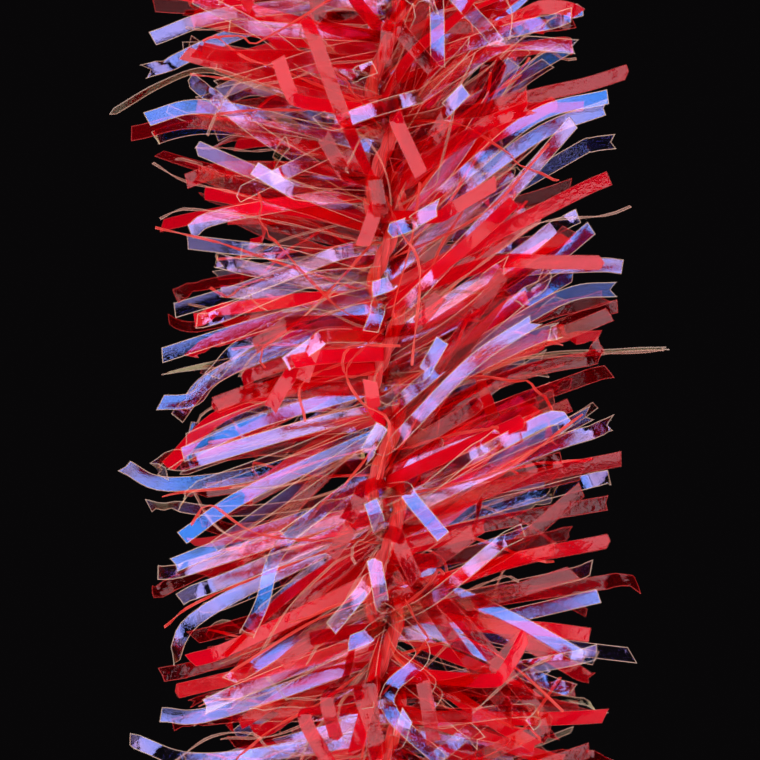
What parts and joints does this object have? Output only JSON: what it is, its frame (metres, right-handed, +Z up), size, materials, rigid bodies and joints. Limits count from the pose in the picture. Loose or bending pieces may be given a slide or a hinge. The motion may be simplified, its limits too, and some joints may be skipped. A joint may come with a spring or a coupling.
{
  "type": "tinsel chenille strand",
  "caption": "Twisted core with cut red and clear pearl film ribbons trapped across it as radial pile; a lure and fly dressing strand with a bare tie-in tag.",
  "frame": {"origin": "on the core's axis at the top end of the bare tie-in tag", "axes": "+Z up along the core; the strand hangs down -Z; +X is the side where the pile leans up; the strand is seen from -Y"},
  "size_m": [0.0134, 0.0142, 0.0393],
  "materials": {
    "core_thread": "twisted red thread",
    "red_film": "translucent glossy film",
    "pearl_film": "clear iridescent film"
  },
  "bodies": {
    "root": {"core_thread_a": "core_thread", "core_thread_b": "core_thread", "red_film_01": "red_film", "pearl_film_01": "pearl_film", "red_film_02": "red_film", "pearl_film_02": "pearl_film", "red_film_03": "red_film", "pearl_film_03": "pearl_film", "red_film_04": "red_film", "pearl_film_04": "pearl_film", "red_film_05": "red_film", "pearl_film_05": "pearl_film", "red_film_06": "red_film", "pearl_film_06": "pearl_film", "red_film_07": "red_film", "pearl_film_07": "pearl_film", "red_film_08": "red_film", "pearl_film_08": "pearl_film", "red_film_09": "red_film", "pearl_film_09": "pearl_film", "red_film_10": "red_film", "pearl_film_10": "pearl_film", "red_film_11": "red_film", "pearl_film_11": "pearl_film", "red_film_12": "red_film", "pearl_film_12": "pearl_film", "red_fibres": "red_film", "clear_fibres": "pearl_film"}
  },
  "joints": []
}
